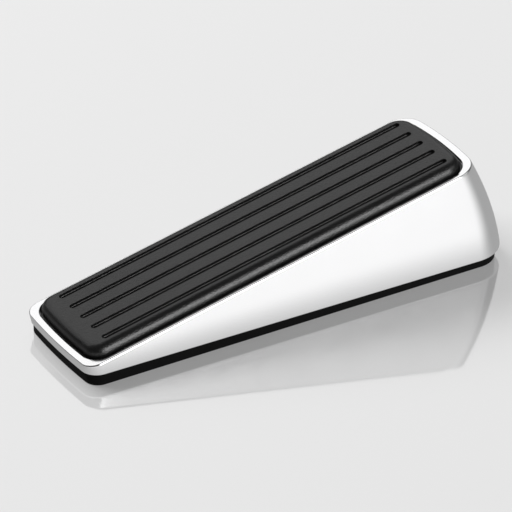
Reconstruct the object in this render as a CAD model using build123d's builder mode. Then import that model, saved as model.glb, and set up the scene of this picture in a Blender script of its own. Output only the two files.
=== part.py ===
# Door wedge: a chromed hollow casting with a grooved rubber pad on its slope and a rubber sole.
# +X runs from the thin toe to the thick heel, +Z is up, and the origin is on the floor under the
# middle of the wedge. Sizes are in millimetres and degrees.
from build123d import *
from collections import namedtuple
from math import cos, hypot, radians, sin, tan
import os

# Form of the casting
length = 125.0
slope_angle = 12.0
toe_height = 5.7
face_width = 33.7
face_setback = 10.4
face_toe_corner = 3.8
face_heel_corner = 6.4
foot_tuck = 0.4
foot_toe_width = 33.4
foot_heel_width = 37.8
foot_toe_corner = 4.4
foot_heel_corner = 11.0
toe_bow = 0.8
heel_bow = 1.3
belly = 0.9
rim_round = 0.4

# Pocket in the sloping face, and the cored-out underside
rim_toe = 1.8
rim_side = 1.35
rim_heel = 2.0
pocket_depth = 1.2
pocket_toe_corner = 5.0
pocket_heel_corner = 5.8
wall = 2.6
top_wall = 2.4
solid_toe = 15.0
core_corner = 1.5
rib_thickness = 2.0
long_ribs = 2
cross_ribs = 3

# Rubber pad in the pocket
pad_gap = 0.1
flange_width = 0.65
flange_drop = 0.85
pad_rise = 2.5
pad_round = 2.4
grooves = 5
groove_pitch = 5.5
groove_width = 1.8
groove_depth = 0.8
groove_draft = 24.0
groove_toe_margin = 5.75
groove_heel_margin = 4.15

# Rubber sole
sole_thickness = 3.1
sole_toe_inset = 0.6
sole_side_inset = 0.15
sole_heel_inset = 1.8
sole_toe_corner = 3.8
sole_heel_corner = 7.5
sole_round = 0.4

# Derived sizes
slope = radians(slope_angle)
half_length = length / 2
face_run = length - face_setback
face_span = face_run / cos(slope)
heel_height = toe_height + face_run * tan(slope)

Outline = namedtuple("Outline", "toe heel toe_width heel_width toe_corner heel_corner")


def on_slope(along, above=0.0):
    """Point (x, z) a distance along the sloping face from its toe edge, and square above it."""
    x = -half_length + along * cos(slope) - above * sin(slope)
    z = toe_height + along * sin(slope) + above * cos(slope)
    return (x, z)


def halfway(first, second):
    """Point or size halfway between two."""
    if isinstance(first, tuple):
        return tuple((a + b) / 2 for a, b in zip(first, second))
    return (first + second) / 2


def draw(outline):
    """Rounded outline with bowed ends, in the plane through its toe and heel points."""
    run = outline.heel[0] - outline.toe[0]
    rise = outline.heel[1] - outline.toe[1]
    plane = Plane(origin=(outline.toe[0], 0, outline.toe[1]), x_dir=(run, 0, rise), z_dir=(-rise, 0, run))
    toe_end = toe_bow
    heel_end = hypot(run, rise) - heel_bow
    toe_side = outline.toe_width / 2
    heel_side = outline.heel_width / 2
    with BuildSketch(plane) as sketch:
        with BuildLine():
            ThreePointArc((toe_end, toe_side), (0, 0), (toe_end, -toe_side))
            Line((toe_end, -toe_side), (heel_end, -heel_side))
            ThreePointArc((heel_end, -heel_side), (heel_end + heel_bow, 0), (heel_end, heel_side))
            Line((heel_end, heel_side), (toe_end, toe_side))
        make_face()
        fillet(sketch.vertices().group_by(Axis.X)[0], radius=outline.toe_corner)
        fillet(sketch.vertices().group_by(Axis.X)[-1], radius=outline.heel_corner)
    return sketch.sketch


def bellied(foot, top):
    """Sections of a wall that swells towards the heel between its foot and its top outline."""
    middle = Outline(*[halfway(low, high) for low, high in zip(foot, top)])
    middle = middle._replace(
        heel=(middle.heel[0] + belly, middle.heel[1]),
        heel_width=middle.heel_width + 2 * belly,
    )
    return [draw(foot), draw(middle), draw(top)]


foot = Outline(
    toe=(-half_length + foot_tuck, sole_thickness),
    heel=(half_length, sole_thickness),
    toe_width=foot_toe_width,
    heel_width=foot_heel_width,
    toe_corner=foot_toe_corner,
    heel_corner=foot_heel_corner,
)
face = Outline(
    toe=on_slope(0),
    heel=on_slope(face_span),
    toe_width=face_width,
    heel_width=face_width,
    toe_corner=face_toe_corner,
    heel_corner=face_heel_corner,
)

# Cores: the hollows under the casting, parted by its ribs
core_depth = pocket_depth + top_wall
core_heel_corner = foot_heel_corner - wall
core_toe = -half_length + solid_toe
core_foot = Outline(
    toe=(core_toe, sole_thickness),
    heel=(half_length - wall, sole_thickness),
    toe_width=foot_toe_width - 2 * wall,
    heel_width=foot_heel_width - 2 * wall,
    toe_corner=core_corner,
    heel_corner=core_heel_corner,
)
core_top = Outline(
    toe=on_slope((solid_toe + core_depth * sin(-slope)) / cos(slope), -core_depth),
    heel=on_slope(face_span - wall, -core_depth),
    toe_width=face_width - 2 * wall,
    heel_width=face_width - 2 * wall,
    toe_corner=core_corner,
    heel_corner=core_heel_corner,
)
core_length = core_foot.heel[0] - core_foot.toe[0]
core_middle = halfway(core_foot.toe[0], core_foot.heel[0])

with BuildPart() as cores:
    loft(sections=[draw(core_foot), draw(core_top)], ruled=True)
    with BuildSketch(Plane.XY.offset(sole_thickness)):
        with Locations((core_middle, 0)):
            with GridLocations(0, core_foot.toe_width / (long_ribs + 1), 1, long_ribs):
                Rectangle(length, rib_thickness)
            with GridLocations(core_length / (cross_ribs + 1), 0, cross_ribs, 1):
                Rectangle(rib_thickness, foot_heel_width)
    extrude(amount=heel_height, mode=Mode.SUBTRACT)

# Casting: bellied wall from the foot up to the sloping face, pocketed above and cored below
with BuildPart() as wedge_body:
    loft(sections=bellied(foot, face))
    sloping_face = wedge_body.faces().filter_by(GeomType.PLANE).sort_by(Axis.Z)[-1]
    fillet(sloping_face.edges(), radius=rim_round)
    pocket = Outline(
        toe=on_slope(rim_toe),
        heel=on_slope(face_span - rim_heel),
        toe_width=face_width - 2 * rim_side,
        heel_width=face_width - 2 * rim_side,
        toe_corner=pocket_toe_corner,
        heel_corner=pocket_heel_corner,
    )
    extrude(draw(pocket), amount=-pocket_depth, mode=Mode.SUBTRACT)
    add(cores.part, mode=Mode.SUBTRACT)
wedge_body.part.label = "wedge_body"

# Pad: a flange bedded in the pocket, a raised field with a rounded edge, and lengthwise grooves
flange = Outline(
    toe=on_slope(rim_toe + pad_gap, -pocket_depth),
    heel=on_slope(face_span - rim_heel - pad_gap, -pocket_depth),
    toe_width=pocket.toe_width - 2 * pad_gap,
    heel_width=pocket.heel_width - 2 * pad_gap,
    toe_corner=pocket_toe_corner - pad_gap,
    heel_corner=pocket_heel_corner - pad_gap,
)
field_toe = rim_toe + pad_gap + flange_width
field_heel = face_span - rim_heel - pad_gap - flange_width
field = Outline(
    toe=on_slope(field_toe, -pocket_depth),
    heel=on_slope(field_heel, -pocket_depth),
    toe_width=flange.toe_width - 2 * flange_width,
    heel_width=flange.heel_width - 2 * flange_width,
    toe_corner=flange.toe_corner - flange_width,
    heel_corner=flange.heel_corner - flange_width,
)
groove_start = field_toe + groove_toe_margin
groove_end = field_heel - groove_heel_margin
groove_middle = on_slope(halfway(groove_start, groove_end), pad_rise)
pad_top = Plane(
    origin=(groove_middle[0], 0, groove_middle[1]),
    x_dir=(cos(slope), 0, sin(slope)),
    z_dir=(-sin(slope), 0, cos(slope)),
)

with BuildPart() as groove:
    with BuildSketch():
        SlotOverall(groove_end - groove_start, groove_width)
    extrude(amount=-groove_depth, taper=groove_draft)

with BuildPart() as top_pad:
    extrude(draw(field), amount=pocket_depth + pad_rise)
    crown = top_pad.faces().filter_by(GeomType.PLANE).sort_by(Axis.Z)[-1]
    fillet(crown.edges(), radius=pad_round)
    extrude(draw(flange), amount=pocket_depth - flange_drop)
    with Locations(pad_top):
        with GridLocations(0, groove_pitch, 1, grooves):
            add(groove.part, mode=Mode.SUBTRACT)
top_pad.part.label = "top_pad"

# Sole: a flat rubber plate under the foot of the casting, set in from its edge
sole = Outline(
    toe=(foot.toe[0] + sole_toe_inset, 0),
    heel=(foot.heel[0] - sole_heel_inset, 0),
    toe_width=foot_toe_width - 2 * sole_side_inset,
    heel_width=foot_toe_width - 2 * sole_side_inset,
    toe_corner=sole_toe_corner,
    heel_corner=sole_heel_corner,
)

with BuildPart() as base_pad:
    extrude(draw(sole), amount=sole_thickness)
    fillet(base_pad.faces().sort_by(Axis.Z)[0].edges(), radius=sole_round)
base_pad.part.label = "base_pad"

os.makedirs("parts", exist_ok=True)
export_step(wedge_body.part, "parts/wedge_body.step")
export_step(top_pad.part, "parts/top_pad.step")
export_step(base_pad.part, "parts/base_pad.step")
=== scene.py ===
import bpy
import numpy as np
from mathutils import Matrix


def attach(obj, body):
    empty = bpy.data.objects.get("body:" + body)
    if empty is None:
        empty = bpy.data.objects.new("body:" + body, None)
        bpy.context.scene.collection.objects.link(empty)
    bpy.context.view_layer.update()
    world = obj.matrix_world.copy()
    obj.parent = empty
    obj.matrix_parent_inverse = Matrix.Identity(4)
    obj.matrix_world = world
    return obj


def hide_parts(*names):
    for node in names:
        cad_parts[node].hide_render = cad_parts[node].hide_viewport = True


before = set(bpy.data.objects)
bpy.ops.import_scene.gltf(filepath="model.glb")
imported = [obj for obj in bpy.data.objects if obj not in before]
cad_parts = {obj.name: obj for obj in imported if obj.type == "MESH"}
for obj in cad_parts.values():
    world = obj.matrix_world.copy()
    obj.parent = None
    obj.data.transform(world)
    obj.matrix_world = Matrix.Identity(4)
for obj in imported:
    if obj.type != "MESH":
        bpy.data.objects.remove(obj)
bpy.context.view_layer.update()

bl_info = {
    "name": "Door wedge",
    "version": (1, 0, 0),
    "blender": (4, 5, 0),
    "location": "View3D > Sidebar > Door wedge",
    "description": "Chromed door wedge with a grooved rubber pad on its slope and a rubber sole",
    "category": "Add Mesh",
}


def length_of(name, millimetres, description):
    """A length property, given in millimetres and held in metres."""
    return bpy.props.FloatProperty(
        name=name, description=description, default=millimetres / 1000, min=0.0,
        precision=5, unit="LENGTH", subtype="DISTANCE",
    )


def colour_of(name, colour, description):
    """A colour property."""
    return bpy.props.FloatVectorProperty(
        name=name, description=description, default=colour, min=0.0, max=1.0, size=3, subtype="COLOR",
    )


def share_of(name, value, description):
    """A property between nothing and the whole."""
    return bpy.props.FloatProperty(
        name=name, description=description, default=value, min=0.0, max=1.0, subtype="FACTOR",
    )


class WedgeCasting(bpy.types.PropertyGroup):
    """Sizes and finish of the chromed casting."""

    length: length_of("Length", 125.0, "From the toe to the heel")
    slope: bpy.props.FloatProperty(
        name="Slope", description="Angle of the sloping face", default=np.radians(12.0),
        unit="ROTATION", subtype="ANGLE",
    )
    toe_height: length_of("Toe height", 5.7, "Height of the sloping face above the floor at the toe")
    face_width: length_of("Face width", 33.7, "Width of the sloping face")
    face_setback: length_of("Face setback", 10.4, "How far the face stops short of the heel's foot")
    face_toe_corner: length_of("Face toe corner", 3.8, "Corner radius of the face at the toe")
    face_heel_corner: length_of("Face heel corner", 6.4, "Corner radius of the face at the heel")
    foot_tuck: length_of("Foot tuck", 0.4, "How far the foot is tucked under the toe")
    foot_toe_width: length_of("Foot toe width", 33.4, "Width of the foot at the toe")
    foot_heel_width: length_of("Foot heel width", 37.8, "Width of the foot at the heel")
    foot_toe_corner: length_of("Foot toe corner", 4.4, "Corner radius of the foot at the toe")
    foot_heel_corner: length_of("Foot heel corner", 11.0, "Corner radius of the foot at the heel")
    toe_bow: length_of("Toe bow", 0.8, "Bow of the toe end")
    heel_bow: length_of("Heel bow", 1.3, "Bow of the heel end")
    belly: length_of("Belly", 0.9, "How far the wall swells at half height")
    foot_round: length_of("Foot round", 0.35, "Radius of the foot's edge")
    rim_round: length_of("Rim round", 0.4, "Radius of the rim's outer edge")
    pocket_round: length_of("Pocket round", 0.12, "Radius of the rim's inner edge")
    rim_toe: length_of("Rim at the toe", 1.8, "Width of the rim at the toe")
    rim_side: length_of("Rim at the side", 1.35, "Width of the rim along the sides")
    rim_heel: length_of("Rim at the heel", 2.0, "Width of the rim at the heel")
    pocket_depth: length_of("Pocket depth", 1.2, "Depth of the pocket for the pad")
    pocket_toe_corner: length_of("Pocket toe corner", 5.0, "Corner radius of the pocket at the toe")
    pocket_heel_corner: length_of("Pocket heel corner", 5.8, "Corner radius of the pocket at the heel")
    chrome: colour_of("Chrome", (0.97, 0.97, 0.975), "Colour of the plating")


class WedgePad(bpy.types.PropertyGroup):
    """Sizes and finish of the rubber pad."""

    gap: length_of("Gap", 0.1, "Gap between the pad and its pocket")
    flange_width: length_of("Flange width", 0.65, "Width of the flange round the raised field")
    flange_drop: length_of("Flange drop", 0.85, "How far the flange lies below the rim")
    rise: length_of("Rise", 2.5, "Height of the field above the rim")
    crown_round: length_of("Crown round", 2.4, "Radius of the field's upper edge")
    pitch: length_of("Groove pitch", 5.5, "Distance between grooves")
    groove_width: length_of("Groove width", 1.8, "Width of a groove")
    groove_depth: length_of("Groove depth", 0.9, "Depth of a groove")
    groove_draft: bpy.props.FloatProperty(
        name="Groove draft", description="How far a groove's sides lean out", default=np.radians(4.0),
        unit="ROTATION", subtype="ANGLE",
    )
    groove_round: length_of("Groove round", 0.35, "Radius along a groove's floor")
    groove_lip: length_of("Groove lip", 0.06, "Radius along a groove's edge")
    toe_margin: length_of("Toe margin", 5.75, "From the field's toe end to the grooves")
    heel_margin: length_of("Heel margin", 4.15, "From the field's heel end to the grooves")
    rubber: colour_of("Rubber", (0.005, 0.005, 0.005), "Colour of the pad")


class WedgeSole(bpy.types.PropertyGroup):
    """Sizes and finish of the rubber sole."""

    thickness: length_of("Thickness", 3.1, "Thickness of the sole")
    toe_inset: length_of("Toe inset", 0.6, "How far the sole stands in from the foot at the toe")
    side_inset: length_of("Side inset", 0.15, "How far the sole stands in at the side of the toe")
    heel_inset: length_of("Heel inset", 1.8, "How far the sole stands in from the foot at the heel")
    flare: length_of("Flare", 1.0, "How much wider the sole is at the heel than at the toe")
    toe_corner: length_of("Toe corner", 3.8, "Corner radius at the toe")
    heel_corner: length_of("Heel corner", 7.5, "Corner radius at the heel")
    edge_round: length_of("Edge round", 0.4, "Radius of the lower edge")
    rubber: colour_of("Rubber", (0.005, 0.005, 0.005), "Colour of the sole")


class WedgeStage(bpy.types.PropertyGroup):
    """Camera, floor and light."""

    eye: bpy.props.FloatVectorProperty(
        name="Eye", description="Place of the camera", default=(-0.42224, -0.69673, 0.49102), size=3,
        precision=5, unit="LENGTH", subtype="TRANSLATION",
    )
    azimuth: bpy.props.FloatProperty(
        name="Azimuth", description="Turn of the camera round the wedge", default=np.radians(-30.94),
        unit="ROTATION", subtype="ANGLE",
    )
    elevation: bpy.props.FloatProperty(
        name="Elevation", description="Height angle of the camera", default=np.radians(30.52),
        unit="ROTATION", subtype="ANGLE",
    )
    lens: bpy.props.FloatProperty(
        name="Lens", description="Focal length on a 36 mm sensor", default=263.45, unit="CAMERA",
    )
    floor: colour_of("Floor", (0.90, 0.90, 0.90), "Colour of the floor")
    pale: share_of("Pale floor", 0.25, "How much of the floor's shown colour is even")
    # Share of the floor that metal mirrors as its painted shade, not as an even floor
    mirrored: share_of("Mirrored floor", 1.0, "How much of the floor is even where metal mirrors it")
    # Grey of the painted shade that metal mirrors in the floor behind the wedge and beyond its heel
    shade: share_of("Shaded floor", 0.385, "Brightness of the mirrored floor behind and beyond the heel")
    polish: share_of("Polished floor", 0.34, "How much of the floor's light is mirrored by its polish")
    room: share_of("Room", 0.08, "Brightness of the room round the stage")
    back_light: bpy.props.FloatProperty(
        name="Back light", description="Power of the softbox above and behind", default=7.2, unit="POWER",
    )
    key_light: bpy.props.FloatProperty(
        name="Key light", description="Power of the softbox that lights the floor", default=81.0,
        unit="POWER",
    )
    front_light: bpy.props.FloatProperty(
        name="Front light", description="Power of the low panel in front", default=38.0, unit="POWER",
    )
    fill_light: bpy.props.FloatProperty(
        name="Fill light", description="Power of the faint panel in front of the heel", default=1.6,
        unit="POWER",
    )


class Number:
    """A node socket that holds a number. Arithmetic on it adds Math nodes."""

    def __init__(self, shading, socket):
        self.shading = shading
        self.socket = socket

    def _math(self, operation, first, second):
        return self.shading.add("ShaderNodeMath", {"operation": operation}, {0: first, 1: second})

    def __add__(self, other):
        return self._math("ADD", self, other)

    def __radd__(self, other):
        return self._math("ADD", other, self)

    def __sub__(self, other):
        return self._math("SUBTRACT", self, other)

    def __rsub__(self, other):
        return self._math("SUBTRACT", other, self)

    def __mul__(self, other):
        return self._math("MULTIPLY", self, other)

    def __rmul__(self, other):
        return self._math("MULTIPLY", other, self)

    def __lt__(self, other):
        return self._math("LESS_THAN", self, other)

    def __gt__(self, other):
        return self._math("GREATER_THAN", self, other)


class Shading:
    """The node tree of a material, light or world."""

    def __init__(self, owner):
        owner.use_nodes = True
        self.tree = owner.node_tree
        self.tree.nodes.clear()

    def add(self, kind, settings=None, inputs=None, output=0):
        """Adds a node, sets it, fills its sockets with values or links, and gives one of its outputs."""
        node = self.tree.nodes.new(kind)
        for name, value in (settings or {}).items():
            setattr(node, name, value)
        for name, value in (inputs or {}).items():
            if isinstance(value, Number):
                self.tree.links.new(value.socket, node.inputs[name])
            else:
                node.inputs[name].default_value = value
        if len(node.outputs) == 0:
            return node
        return Number(self, node.outputs[output])

    def part(self, value, output):
        """Another output of the node that gave a value."""
        return Number(self, value.socket.node.outputs[output])


def grey_of(level):
    """A grey for a colour socket."""
    return (level, level, level, 1.0)


def tone_of(colour, share):
    """A colour for a colour socket, made darker or lighter."""
    return (*[share * part for part in colour], 1.0)


def chrome_finish(name, colour):
    """Polished plate: a faint cloud in its gloss, the soft ripple of a polished casting, and fine specks."""
    material = bpy.data.materials.new(name)
    shading = Shading(material)
    spot = shading.add("ShaderNodeTexCoord", output="Object")
    cloud = shading.add("ShaderNodeTexNoise", None, {"Vector": spot, "Scale": 140.0, "Detail": 3.0})
    speck = shading.add("ShaderNodeTexNoise", None, {"Vector": spot, "Scale": 2600.0, "Detail": 2.0})
    ripple = shading.add("ShaderNodeTexNoise", None, {"Vector": spot, "Scale": 45.0, "Detail": 1.0})
    tint = shading.add(
        "ShaderNodeMix", {"data_type": "RGBA"},
        {0: cloud, 6: tone_of(colour, 0.97), 7: tone_of(colour, 1.0)}, output=2,
    )
    relief = ripple + 0.02 * speck
    bump = shading.add("ShaderNodeBump", None, {"Strength": 0.25, "Distance": 0.0001, "Height": relief})
    shader = shading.add(
        "ShaderNodeBsdfPrincipled", None,
        {
            "Base Color": tint, "Metallic": 1.0, "Normal": bump,
            "Roughness": 0.10 + 0.10 * cloud + 0.02 * speck,
        },
    )
    shading.add("ShaderNodeOutputMaterial", None, {"Surface": shader})
    return material


def rubber_finish(name, colour, roughness, gloss, grain):
    """Moulded rubber: near black with a faint bloom, and a fine grain that breaks up its satin gloss."""
    material = bpy.data.materials.new(name)
    shading = Shading(material)
    spot = shading.add("ShaderNodeTexCoord", output="Object")
    bloom = shading.add("ShaderNodeTexNoise", None, {"Vector": spot, "Scale": 220.0, "Detail": 4.0})
    pores = shading.add("ShaderNodeTexNoise", None, {"Vector": spot, "Scale": grain, "Detail": 3.0})
    tint = shading.add(
        "ShaderNodeMix", {"data_type": "RGBA"},
        {0: bloom, 6: tone_of(colour, 0.7), 7: tone_of(colour, 1.3)}, output=2,
    )
    bump = shading.add("ShaderNodeBump", None, {"Strength": 0.7, "Distance": 0.00012, "Height": pores})
    shader = shading.add(
        "ShaderNodeBsdfPrincipled", None,
        {
            "Base Color": tint, "Specular IOR Level": gloss, "Normal": bump,
            "Roughness": roughness - 0.04 + 0.08 * bloom,
        },
    )
    shading.add("ShaderNodeOutputMaterial", None, {"Surface": shader})
    return material


# Steps along half an outline: half its toe, a toe corner, a side, a heel corner and half its heel
TOE_STEPS = 16
TOE_CORNER_STEPS = 14
SIDE_STEPS = 36
HEEL_CORNER_STEPS = 24
HEEL_STEPS = 20


def half_outline(span, toe_width, heel_width, toe_corner, heel_corner, toe_bow, heel_bow):
    """Points and outward directions of one side of an outline, from the middle of its toe to the middle of
    its heel. They run round an arc across half the toe, a corner arc, a straight side, a corner arc and an
    arc across half the heel. A corner's centre lies on the side moved in by its radius, and on the end's
    circle made smaller by its radius."""
    half_toe = toe_width / 2
    half_heel = heel_width / 2
    toe_radius = (half_toe**2 + toe_bow**2) / (2 * toe_bow)
    heel_radius = (half_heel**2 + heel_bow**2) / (2 * heel_bow)
    toe_centre = np.array([toe_radius, 0.0])
    heel_centre = np.array([span - heel_radius, 0.0])
    first = np.array([toe_bow, half_toe])
    last = np.array([span - heel_bow, half_heel])
    along = (last - first) / np.linalg.norm(last - first)
    out = np.array([-along[1], along[0]])

    def corner_centre(corner, radius, end_centre, end_radius, way):
        """Centre of a corner's arc, on the side moved in and on the end's smaller circle."""
        inner = corner - radius * out
        offset = inner - end_centre
        reach = offset @ along
        root = np.sqrt(reach**2 - offset @ offset + (end_radius - radius) ** 2)
        return inner + (way * root - reach) * along

    toe_turn_centre = corner_centre(first, toe_corner, toe_centre, toe_radius, -1)
    heel_turn_centre = corner_centre(last, heel_corner, heel_centre, heel_radius, 1)
    toe_angle = np.arctan2(*(toe_turn_centre - toe_centre)[::-1])
    heel_angle = np.arctan2(*(heel_turn_centre - heel_centre)[::-1])
    side_angle = np.arctan2(out[1], out[0])

    def run(start, stop, count):
        """Even steps after the start, up to the stop."""
        return np.linspace(start, stop, count + 1)[1:]

    ease = run(0.0, 1.0, SIDE_STEPS)
    angle = np.concatenate([
        [np.pi], run(np.pi, toe_angle, TOE_STEPS), run(toe_angle, side_angle, TOE_CORNER_STEPS),
        np.full(SIDE_STEPS, side_angle), run(side_angle, heel_angle, HEEL_CORNER_STEPS),
        run(heel_angle, 0.0, HEEL_STEPS),
    ])
    radius = np.concatenate([
        np.full(TOE_STEPS + 1, toe_radius), np.full(TOE_CORNER_STEPS, toe_corner),
        toe_corner + (heel_corner - toe_corner) * ease,
        np.full(HEEL_CORNER_STEPS, heel_corner), np.full(HEEL_STEPS, heel_radius),
    ])
    centre = np.concatenate([
        np.tile(toe_centre, (TOE_STEPS + 1, 1)), np.tile(toe_turn_centre, (TOE_CORNER_STEPS, 1)),
        toe_turn_centre + (heel_turn_centre - toe_turn_centre) * ease[:, None],
        np.tile(heel_turn_centre, (HEEL_CORNER_STEPS, 1)), np.tile(heel_centre, (HEEL_STEPS, 1)),
    ])
    outward = np.stack([np.cos(angle), np.sin(angle)], axis=1)
    return centre + radius[:, None] * outward, outward


def whole(half):
    """A closed loop: one side from toe to heel, then its mirror image from heel to toe."""
    return np.concatenate([half, half[-2:0:-1] * np.array([1.0, -1.0])])


def on_plane(flat, origin, lengthwise, above=0.0):
    """Points (x, y, z) of flat points (along, across) in a plane that rises lengthwise from its origin."""
    cosine, sine = lengthwise
    x = origin[0] + flat[..., 0] * cosine - above * sine
    z = origin[1] + flat[..., 0] * sine + above * cosine
    return np.stack([x, flat[..., 1], z], axis=-1)


def loop_of(outline, bows):
    """Closed loop of an outline, with its outward directions. The outline's eight numbers are its toe point
    and heel point in the lengthwise middle plane, its two widths and its two corner radii."""
    run = outline[2:4] - outline[0:2]
    span = np.hypot(*run)
    flat, outward = half_outline(span, *outline[4:8], *bows)
    return (
        on_plane(whole(flat), outline[0:2], run / span),
        on_plane(whole(outward), np.zeros(2), run / span),
    )


def rounded(corner, first, second, radius, steps):
    """Rows of an arc that rounds off each corner point between two unit directions. The arc's centre lies on
    the bisector, and its points turn evenly from the first side to the second."""
    half = np.arccos(np.clip(np.sum(first * second, axis=-1), -1, 1)) / 2
    bisector = first + second
    bisector = bisector / np.linalg.norm(bisector, axis=-1, keepdims=True)
    centre = corner + bisector * (radius / np.sin(half))[..., None]
    tangent = (radius / np.tan(half))[..., None]
    start = corner + first * tangent - centre
    stop = corner + second * tangent - centre
    turn = (np.pi - 2 * half)[None, :, None]
    part = np.linspace(0.0, 1.0, steps + 1)[:, None, None]
    return centre + (start * np.sin((1 - part) * turn) + stop * np.sin(part * turn)) / np.sin(turn)


def tube_faces(rows, columns):
    """Faces between neighbouring rows of closed loops, facing outwards where the rows go up."""
    row, column = np.meshgrid(np.arange(rows - 1), np.arange(columns), indexing="ij")
    beside = (column + 1) % columns
    low = row * columns
    high = low + columns
    faces = np.stack([low + column, high + column, high + beside, low + beside], axis=-1)
    return faces.reshape(-1, 4)


def cap_faces(start, columns, up=True):
    """Faces that close a symmetrical loop, each from a point to its mirror image and on to the next pair."""
    left = np.arange(columns // 2 + 1)
    right = (columns - left) % columns
    quads = start + np.stack([left[:-1], right[:-1], right[1:], left[1:]], axis=-1)
    return quads if up else quads[:, ::-1]


def tube(rows, bottom=True, top=True):
    """Points and faces of rows of loops, with a flat cap on the first loop, on the last, or on both."""
    count, columns = rows.shape[:2]
    faces = [tube_faces(count, columns)]
    if bottom:
        faces.append(cap_faces(0, columns, up=False))
    if top:
        faces.append(cap_faces((count - 1) * columns, columns))
    return rows.reshape(-1, 3), np.concatenate(faces)


def welded(points, faces):
    """Points and faces with equal points made one, and faces that have lost a corner left as triangles."""
    _, first, kept = np.unique(np.round(points, 7), axis=0, return_index=True, return_inverse=True)
    faces = kept.reshape(-1)[faces]
    same = faces == np.roll(faces, -1, axis=1)
    whole_faces = faces[~same.any(axis=1)]
    cut = faces[same.sum(axis=1) == 1]
    triangles = cut[~same[same.sum(axis=1) == 1]].reshape(-1, 3)
    return points[first], whole_faces, triangles


# An edge that turns by more than this is shown sharp
SHARP_ANGLE = np.radians(50.0)


def make_piece(name, points, faces, material, node):
    """Puts a surface into a mesh object that rides on the wedge and stands for a CAD node."""
    points, quads, triangles = welded(points, faces)
    mesh = bpy.data.meshes.new(name)
    mesh.from_pydata(points.tolist(), [], quads.tolist() + triangles.tolist())
    if mesh.validate():
        raise RuntimeError(f"{name} has faces that can't be used")
    mesh.shade_smooth()
    mesh.set_sharp_from_angle(angle=SHARP_ANGLE)
    piece = bpy.data.objects.new(name, mesh)
    bpy.context.scene.collection.objects.link(piece)
    mesh.materials.append(material)
    even = piece.modifiers.new("Even shading", "WEIGHTED_NORMAL")
    even.keep_sharp = True
    even.weight = 100
    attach(piece, "root")
    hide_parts(node)
    return piece


def on_slope(casting, along, above=0.0):
    """Point (x, z) a distance along the sloping face from its toe edge, and square above it."""
    cosine, sine = np.cos(casting.slope), np.sin(casting.slope)
    return np.array([
        -casting.length / 2 + along * cosine - above * sine,
        casting.toe_height + along * sine + above * cosine,
    ])


def face_span(casting):
    """Length of the sloping face."""
    return (casting.length - casting.face_setback) / np.cos(casting.slope)


# Steps up the casting's wall between its rounded edges
WALL_STEPS = 32


def casting_surface(casting, sole):
    """Rows of loops up the casting. The wall is a parabola in its height parameter v through the foot, the
    bellied middle and the face: foot (1-v)(1-2v) + middle 4v(1-v) + face v(2v-1). Its edges are rounded, the
    rim is flat, and the pocket's wall goes down to its floor. Foot and pocket are closed by flat caps."""
    bows = (casting.toe_bow, casting.heel_bow)
    half = casting.length / 2
    span = face_span(casting)
    foot = np.array([
        -half + casting.foot_tuck, sole.thickness, half, sole.thickness, casting.foot_toe_width,
        casting.foot_heel_width, casting.foot_toe_corner, casting.foot_heel_corner,
    ])
    face = np.array([
        *on_slope(casting, 0.0), *on_slope(casting, span), casting.face_width, casting.face_width,
        casting.face_toe_corner, casting.face_heel_corner,
    ])
    # Half way up, the belly moves the heel point out and widens the heel on both sides
    middle = (foot + face) / 2 + casting.belly * np.array([0, 0, 1, 0, 0, 2, 0, 0])
    side = 2 * casting.rim_side
    pocket = np.array([
        *on_slope(casting, casting.rim_toe), *on_slope(casting, span - casting.rim_heel),
        casting.face_width - side, casting.face_width - side, casting.pocket_toe_corner,
        casting.pocket_heel_corner,
    ])
    low, low_out = loop_of(foot, bows)
    half_way, _ = loop_of(middle, bows)
    high, high_out = loop_of(face, bows)
    inner, inner_out = loop_of(pocket, bows)
    down = np.array([np.sin(casting.slope), 0.0, -np.cos(casting.slope)])

    def unit(vectors):
        """Vectors divided by their lengths."""
        return vectors / np.linalg.norm(vectors, axis=-1, keepdims=True)

    rise = 4 * half_way - 3 * low - high
    fall = 4 * half_way - low - 3 * high
    foot_edge = rounded(low, -low_out, unit(rise), casting.foot_round, steps=5)
    rim_edge = rounded(high, unit(fall), -high_out, casting.rim_round, steps=6)
    first = np.linalg.norm(foot_edge[-1] - low, axis=1) / np.linalg.norm(rise, axis=1)
    last = 1 - np.linalg.norm(rim_edge[0] - high, axis=1) / np.linalg.norm(fall, axis=1)
    v = (first + (last - first) * np.linspace(0.0, 1.0, WALL_STEPS + 1)[1:-1, None])[..., None]
    wall = low * (1 - v) * (1 - 2 * v) + half_way * 4 * v * (1 - v) + high * v * (2 * v - 1)
    down = np.broadcast_to(down, inner.shape)
    pocket_edge = rounded(inner, inner_out, down, casting.pocket_round, steps=3)
    floor = inner + down * casting.pocket_depth
    return tube(np.concatenate([foot_edge, wall, rim_edge, pocket_edge, floor[None]]))


def sole_surface(casting, sole):
    """Rows of loops up the sole: its outline is the same all the way, moved in along its rounded lower edge
    and along an upper edge with a third of that radius."""
    half = casting.length / 2
    width = casting.foot_toe_width - 2 * sole.side_inset
    outline = np.array([
        -half + casting.foot_tuck + sole.toe_inset, 0.0, half - sole.heel_inset, 0.0, width,
        width + sole.flare, sole.toe_corner, sole.heel_corner,
    ])
    low, out = loop_of(outline, (casting.toe_bow, casting.heel_bow))
    up = np.broadcast_to(np.array([0.0, 0.0, 1.0]), low.shape)
    high = low + up * sole.thickness
    lower_edge = rounded(low, -out, up, sole.edge_round, steps=5)
    upper_edge = rounded(high, -up, -out, sole.edge_round / 3, steps=3)
    return tube(np.concatenate([lower_edge, upper_edge]))


# Grooves on each side of the middle one, and steps along the pad's curves
SIDE_GROOVES = 2
QUARTER_STEPS = 12
CORNER_STEPS = 9
CROWN_STEPS = 12
FLANGE_STEPS = 4
GROOVE_STEPS = 10


def carried(loop, outward, grow, level):
    """Rows of a profile carried round a flat loop. Each row is the loop moved outwards by the profile's
    growth, at the profile's level."""
    flat = loop + outward * grow[:, None, None]
    return np.concatenate([flat, np.broadcast_to(level[:, None, None], (*flat.shape[:2], 1))], axis=2)


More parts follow.
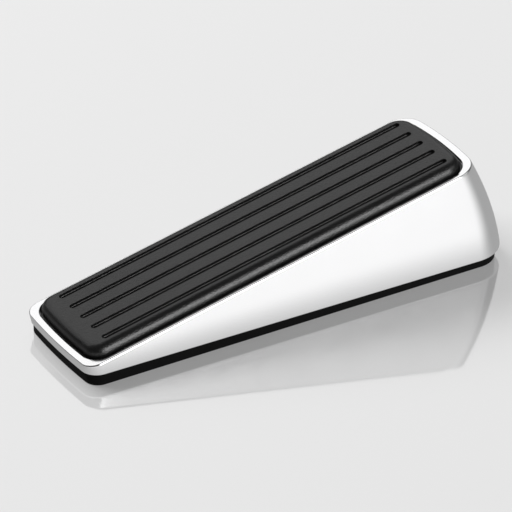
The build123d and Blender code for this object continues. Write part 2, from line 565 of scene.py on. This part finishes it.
def land(flat_rows, level, flip):
    """Points and faces of a flat land between two rows of points."""
    columns = flat_rows.shape[1]
    index = np.arange(columns - 1)
    quads = np.stack([index, index + 1, index + columns + 1, index + columns], axis=1)
    points = np.concatenate([flat_rows, np.full((*flat_rows.shape[:2], 1), level)], axis=2)
    return points.reshape(-1, 3), quads[:, ::-1] if flip else quads


def joined(parts):
    """Points and faces of several surfaces as one. A surface's faces count on from the points before it."""
    starts = np.cumsum([0] + [len(points) for points, _ in parts])
    return (
        np.concatenate([points for points, _ in parts]),
        np.concatenate([start + faces for start, (_, faces) in zip(starts, parts)]),
    )


def field_end(arcs, half, bow, corner, crown, way, tip):
    """Edge of the flat land at one end of the field, on one side: distances across, points and outward
    directions. It follows the end's arc and then the corner's arc, both moved in by the crown's radius, and
    has a point level with each point of the groove ends."""
    big = (half**2 + bow**2) / (2 * bow)
    across = half - corner
    centre = np.sqrt((big - corner) ** 2 - across**2)
    small = corner - crown
    first = np.arcsin(np.clip((arcs[-1] - across) / small, 0.0, 1.0))
    if first <= 0.0:
        first = np.arcsin(across / (big - corner))
    bend = np.linspace(first, np.pi / 2, CORNER_STEPS + 1)[1:]
    y = np.concatenate([arcs, across + small * np.sin(bend)])
    on_end = y <= (big - crown) * across / (big - corner)
    middle_s = np.where(on_end, 0.0, centre)
    middle_y = np.where(on_end, 0.0, across)
    radius = np.where(on_end, big - crown, small)
    s = middle_s + np.sqrt(np.maximum(radius**2 - (y - middle_y) ** 2, 0.0))
    outward = np.stack([(s - middle_s) / radius, (y - middle_y) / radius], axis=1)
    flat = np.stack([tip + way * (s - big), y], axis=1)
    return y, flat, outward * np.array([way, 1.0])


def edge_profile(casting, pad):
    """Growth and level of the pad's edge from the pocket's floor up: the flange's side, its rounded edge, a
    fillet against the field, and the round of the field's upper edge."""
    crown_bend = np.linspace(0.0, np.pi / 2, CROWN_STEPS + 1)
    flange_bend = np.linspace(0.0, np.pi / 2, FLANGE_STEPS + 1)
    flange_round = 0.2 * pad.flange_width
    fillet = 0.08 * pad.flange_width
    grow = np.concatenate([
        [pad.flange_width],
        pad.flange_width - flange_round * (1 - np.cos(flange_bend)),
        fillet * (1 - np.sin(flange_bend)),
        -pad.crown_round * (1 - np.cos(crown_bend)),
    ])
    level = np.concatenate([
        [-casting.pocket_depth],
        -pad.flange_drop - flange_round * (1 - np.sin(flange_bend)),
        -pad.flange_drop + fillet * (1 - np.cos(flange_bend)),
        pad.rise - pad.crown_round * (1 - np.sin(crown_bend)),
    ])
    return grow + pad.crown_round, level


def groove_lean(pad):
    """Angle through which a groove's lip and the corner of its floor turn."""
    return np.pi / 2 - pad.groove_draft


def groove_rows(pad, slot, slot_toe, slot_heel, turn):
    """Rows of the middle groove: a profile carried round a slot. It goes round the lip, down the leaning
    side and round to the floor."""
    lean = groove_lean(pad)
    quarter = turn[:QUARTER_STEPS + 1]
    angle = np.concatenate([np.pi - quarter, quarter[::-1]])
    middle = np.repeat([slot_toe, slot_heel], len(quarter))
    outward = whole(np.stack([np.cos(angle), np.sin(angle)], axis=1))
    line = whole(np.stack([middle, np.zeros(len(middle))], axis=1))
    bend = np.linspace(0.0, lean, GROOVE_STEPS + 1)
    half_floor = pad.groove_width / 2 - pad.groove_depth * np.tan(pad.groove_draft)
    radius = np.concatenate([
        slot - pad.groove_lip * np.sin(bend),
        half_floor + pad.groove_round * (np.sin(bend[::-1]) - np.tan(lean / 2)),
    ])
    depth = np.concatenate([
        pad.groove_lip * (1 - np.cos(bend)),
        pad.groove_depth - pad.groove_round * (1 - np.cos(bend[::-1])),
    ])
    return carried(line, outward, radius, pad.rise - depth)


def pad_surface(casting, pad):
    """The pad in parts, all measured from the plane of the sloping face (along, across, above). Its edge is
    a profile carried round the field's outline. The land at each end runs straight from a line of groove
    ends to the field's edge at the same distance across. The lands along the sides and between the grooves
    are flat strips. Each groove is a profile carried round a slot."""
    span = face_span(casting)
    field_toe = casting.rim_toe + pad.gap + pad.flange_width
    field_heel = span - casting.rim_heel - pad.gap - pad.flange_width
    inset = casting.rim_side + pad.gap + pad.flange_width
    width = casting.face_width - 2 * inset
    toe_corner = casting.pocket_toe_corner - pad.gap - pad.flange_width
    heel_corner = casting.pocket_heel_corner - pad.gap - pad.flange_width
    half = width / 2
    crown = pad.crown_round
    side = half - crown
    slot = pad.groove_width / 2 + pad.groove_lip * np.tan(groove_lean(pad) / 2)
    slot_toe = field_toe + pad.toe_margin + pad.groove_width / 2
    slot_heel = field_heel - pad.heel_margin - pad.groove_width / 2
    turn = np.linspace(0.0, np.pi, 2 * QUARTER_STEPS + 1)
    middles = pad.pitch * np.arange(-SIDE_GROOVES, SIDE_GROOVES + 1)
    half_middles = middles[SIDE_GROOVES:]
    arcs = (half_middles[:, None] - slot * np.cos(turn)).reshape(-1)[QUARTER_STEPS:]
    reach = np.tile(slot * np.sin(turn), len(half_middles))[QUARTER_STEPS:]

    toe_y, toe_flat, toe_out = field_end(arcs, half, casting.toe_bow, toe_corner, crown, -1, field_toe)
    heel_y, heel_flat, heel_out = field_end(arcs, half, casting.heel_bow, heel_corner, crown, 1, field_heel)
    toe_line = max(slot_toe, toe_flat[-1, 0])
    heel_line = min(slot_heel, heel_flat[-1, 0])
    along = np.array([[toe_line, side], [heel_line, side]])
    edge = whole(np.concatenate([toe_flat, along, heel_flat[::-1]]))
    out = whole(np.concatenate([toe_out, [[0.0, 1.0], [0.0, 1.0]], heel_out[::-1]]))
    parts = [tube(carried(edge, out, *edge_profile(casting, pad)), top=False)]

    mirror = np.array([1.0, -1.0])
    borders = []
    for y, flat, start, stop, way in (
        (toe_y, toe_flat, slot_toe, toe_line, -1), (heel_y, heel_flat, slot_heel, heel_line, 1),
    ):
        bulge = np.concatenate([reach, np.zeros(len(y) - len(reach))])
        past = np.maximum(y - arcs[-1], 0.0) / (side - arcs[-1])
        inner = np.stack([start + way * bulge + (stop - start) * past, y], axis=1)
        both = np.stack([inner, flat])
        parts += [land(both, pad.rise, flip=way > 0), land(both * mirror, pad.rise, flip=way < 0)]
        borders.append(inner[len(arcs) - 1:])
    strip = np.stack(borders)
    parts += [land(strip, pad.rise, flip=True), land(strip * mirror, pad.rise, flip=False)]
    edges = (middles[:, None] + slot * np.array([-1, 1])).reshape(-1)
    for low, high in edges[1:-1].reshape(-1, 2):
        strip = np.array([[[slot_toe, low], [slot_heel, low]], [[slot_toe, high], [slot_heel, high]]])
        parts.append(land(strip, pad.rise, flip=False))

    groove = groove_rows(pad, slot, slot_toe, slot_heel, turn)
    parts += [tube(groove + np.array([0.0, middle, 0.0]), bottom=False) for middle in middles]
    local, faces = joined(parts)
    lengthwise = (np.cos(casting.slope), np.sin(casting.slope))
    return on_plane(local[:, :2], on_slope(casting, 0.0), lengthwise, local[:, 2]), faces


class WEDGE_OT_casting(bpy.types.Operator):
    """Makes the chromed casting"""

    bl_idname = "wedge.casting"
    bl_label = "Casting"

    def execute(self, context):
        casting = context.scene.wedge_casting
        points, faces = casting_surface(casting, context.scene.wedge_sole)
        finish = chrome_finish("chrome_plate", casting.chrome)
        make_piece("casting", points, faces, finish, "wedge_body")
        return {"FINISHED"}


class WEDGE_OT_pad(bpy.types.Operator):
    """Makes the grooved rubber pad"""

    bl_idname = "wedge.pad"
    bl_label = "Grip pad"

    def execute(self, context):
        pad = context.scene.wedge_pad
        points, faces = pad_surface(context.scene.wedge_casting, pad)
        finish = rubber_finish("pad_rubber", pad.rubber, roughness=0.305, gloss=0.5, grain=2600.0)
        make_piece("grip_pad", points, faces, finish, "top_pad")
        return {"FINISHED"}


class WEDGE_OT_sole(bpy.types.Operator):
    """Makes the rubber sole"""

    bl_idname = "wedge.sole"
    bl_label = "Sole"

    def execute(self, context):
        sole = context.scene.wedge_sole
        points, faces = sole_surface(context.scene.wedge_casting, sole)
        finish = rubber_finish("sole_rubber", sole.rubber, roughness=0.48, gloss=0.03, grain=3600.0)
        make_piece("sole", points, faces, finish, "base_pad")
        return {"FINISHED"}


class WEDGE_OT_stage(bpy.types.Operator):
    """Makes the floor, the light and the camera"""

    bl_idname = "wedge.stage"
    bl_label = "Stage"

    def execute(self, context):
        scene = context.scene
        stage = scene.wedge_stage
        scene.view_settings.view_transform = "Standard"
        self.floor(scene, stage)
        self.world(scene, stage)
        self.softbox(
            scene, "back_softbox", stage.back_light, place=(0.15, 1.05, 0.92), size=(2.4, 1.0), again=0.3,
        )
        key = self.softbox(
            scene, "key_softbox", stage.key_light, place=(-0.9, 1.95, 1.9), size=(2.8, 1.6), again=0.3,
        )
        key.visible_glossy = False
        front = self.softbox(
            scene, "front_panel", stage.front_light, place=(0.32, -1.92, 0.78), size=(0.86, 1.47), again=0.05,
        )
        fill = self.softbox(
            scene, "fill_panel", stage.fill_light, place=(0.58, -0.644, 0.677), size=(0.8, 0.55), again=0.3,
        )
        pieces = self.pieces()
        front.light_linking.receiver_collection = pieces
        fill.light_linking.receiver_collection = pieces
        self.camera(scene, stage)
        return {"FINISHED"}

    def pieces(self):
        """The wedge's own pieces, which alone show the panels in front."""
        collection = bpy.data.collections.new("wedge")
        for name in ("casting", "grip_pad", "sole"):
            collection.objects.link(bpy.data.objects[name])
        return collection

    def floor(self, scene, stage):
        """A pale polished floor. The camera sees it partly lit and partly even. Metal mirrors a glowing floor
        with painted shade: bright in front of the wedge, and painted darker near its foot, behind it and
        round beyond the heel, standing in for the wedge's shadow on the floor. The painted shade comes round
        the heel by the angle about a turning point under the heel's near corner."""
        mesh = bpy.data.meshes.new("floor")
        reach = 4.0
        corners = np.array([[-1, -1, 0], [1, -1, 0], [1, 1, 0], [-1, 1, 0]], float) * reach
        mesh.from_pydata(corners.tolist(), [], [[0, 1, 2, 3]])
        floor = bpy.data.objects.new("floor", mesh)
        scene.collection.objects.link(floor)
        material = bpy.data.materials.new("pale_floor")
        shading = Shading(material)
        spot = shading.add("ShaderNodeTexCoord", output="Object")
        x = shading.add("ShaderNodeSeparateXYZ", None, {0: spot}, output="X")
        y = shading.part(x, "Y")
        # Painted shade for mirrors: a mask that is one in front of the wedge and falls to nothing near its
        # foot, behind it and beyond the heel
        turn_x, turn_y = 0.050, -0.012
        angle = shading.add("ShaderNodeMath", {"operation": "ARCTAN2"}, {0: x - turn_x, 1: turn_y - y})
        before_wedge = self.ease(shading, y, start=-0.008, stop=-0.041)
        before_heel = self.ease(shading, angle, start=1.24, stop=0.36)
        front = before_wedge * before_heel
        path = shading.add("ShaderNodeLightPath", output="Is Camera Ray")
        mirror = shading.part(path, "Is Glossy Ray") + shading.part(path, "Is Transmission Ray")
        # Painted shade: the colour that mirrors see, white in front and the painted grey elsewhere; the
        # camera sees it white
        painted_shade_tone = shading.add(
            "ShaderNodeMix", {"data_type": "RGBA"},
            {0: front + path, 6: grey_of(stage.shade), 7: grey_of(1.0)}, output=2,
        )
        matt = shading.add(
            "ShaderNodeBsdfPrincipled", None,
            {"Base Color": tone_of(stage.floor, 1.0), "Roughness": 0.6, "Specular IOR Level": 0.0},
        )
        gloss = shading.add("ShaderNodeBsdfAnisotropic", None, {"Color": grey_of(0.9), "Roughness": 0.06})
        lit = shading.add("ShaderNodeMixShader", None, {0: stage.polish, 1: matt, 2: gloss})
        even = shading.add("ShaderNodeEmission", None, {"Color": painted_shade_tone, "Strength": 1.0})
        mixed = shading.add(
            "ShaderNodeMixShader", None, {0: path * stage.pale + mirror * stage.mirrored, 1: lit, 2: even},
        )
        shading.add("ShaderNodeOutputMaterial", None, {"Surface": mixed})
        mesh.materials.append(material)

    def ease(self, shading, value, start, stop):
        """A smooth step from nothing at the start to one at the stop."""
        return shading.add(
            "ShaderNodeMapRange", {"interpolation_type": "SMOOTHSTEP"},
            {"Value": value, 1: start, 2: stop, 3: 0.0, 4: 1.0},
        )

    def world(self, scene, stage):
        """A dim room, which the camera sees as a pale backdrop."""
        scene.world = bpy.data.worlds.new("studio")
        shading = Shading(scene.world)
        path = shading.add("ShaderNodeLightPath", output="Is Camera Ray")
        room = shading.add("ShaderNodeBackground", None, {"Color": grey_of(stage.room), "Strength": 1.0})
        backdrop = shading.add("ShaderNodeBackground", None, {"Color": grey_of(0.84), "Strength": 1.0})
        mixed = shading.add("ShaderNodeMixShader", None, {0: path, 1: room, 2: backdrop})
        shading.add("ShaderNodeOutputWorld", None, {"Surface": mixed})

    def softbox(self, scene, name, power, place, size, again):
        """A flat light that faces the wedge, unseen by the camera. It lights nothing by way of a matt
        surface, and only a share of it comes again in the mirror image of a mirror image."""
        lamp = bpy.data.lights.new(name, "AREA")
        lamp.shape = "RECTANGLE"
        lamp.size, lamp.size_y = size
        lamp.energy = power
        box = bpy.data.objects.new(name, lamp)
        scene.collection.objects.link(box)
        back = np.array(place) / np.linalg.norm(place)
        right = np.cross([0.0, 0.0, 1.0], back)
        right = right / np.linalg.norm(right)
        box.matrix_world = self.facing(right, np.cross(back, right), back, place)
        box.visible_camera = False
        shading = Shading(lamp)
        bounces = shading.add("ShaderNodeLightPath", output="Diffuse Depth")
        mirrors = shading.part(bounces, "Glossy Depth")
        direct = bounces < 0.5
        first_image = mirrors < 1.5
        strength = direct * (again + (1 - again) * first_image)
        glow = shading.add("ShaderNodeEmission", None, {"Strength": strength})
        shading.add("ShaderNodeOutputLight", None, {"Surface": glow})
        return box

    def facing(self, right, up, back, place):
        """Place and turn of a lamp or camera, whose own axes point right, up and back."""
        matrix = np.eye(4)
        matrix[:3, :] = np.column_stack([right, up, back, place])
        return Matrix(matrix.tolist())

    def camera(self, scene, stage):
        """A camera with a long lens. It looks along the line given by its turn and its height angle, and its
        right side is level."""
        data = bpy.data.cameras.new("camera")
        data.sensor_width = 36.0
        data.lens = stage.lens
        data.clip_start = 0.01
        camera = bpy.data.objects.new("camera", data)
        scene.collection.objects.link(camera)
        turn, height = stage.azimuth, stage.elevation
        back = np.array([np.sin(turn) * np.cos(height), -np.cos(turn) * np.cos(height), np.sin(height)])
        right = np.array([np.cos(turn), np.sin(turn), 0.0])
        camera.matrix_world = self.facing(right, np.cross(back, right), back, stage.eye)
        scene.camera = camera


class WEDGE_PT_panel(bpy.types.Panel):
    """Door wedge"""

    bl_idname = "WEDGE_PT_panel"
    bl_label = "Door wedge"
    bl_space_type = "VIEW_3D"
    bl_region_type = "UI"
    bl_category = "Door wedge"

    def draw(self, context):
        for operator in operators:
            self.layout.operator(operator.bl_idname)


groups = {
    "wedge_casting": WedgeCasting,
    "wedge_pad": WedgePad,
    "wedge_sole": WedgeSole,
    "wedge_stage": WedgeStage,
}
operators = (WEDGE_OT_casting, WEDGE_OT_pad, WEDGE_OT_sole, WEDGE_OT_stage)


def register():
    """Adds the classes, and gives the scene their sizes and colours."""
    for kind in (*groups.values(), *operators, WEDGE_PT_panel):
        bpy.utils.register_class(kind)
    for name, group in groups.items():
        setattr(bpy.types.Scene, name, bpy.props.PointerProperty(type=group))


def unregister():
    """Takes the sizes, the colours and the classes away again."""
    for name in groups:
        delattr(bpy.types.Scene, name)
    for kind in (WEDGE_PT_panel, *operators[::-1], *list(groups.values())[::-1]):
        bpy.utils.unregister_class(kind)


def main():
    register()
    bpy.ops.wedge.casting()
    bpy.ops.wedge.pad()
    bpy.ops.wedge.sole()
    bpy.ops.wedge.stage()


if __name__ == "__main__":
    main()
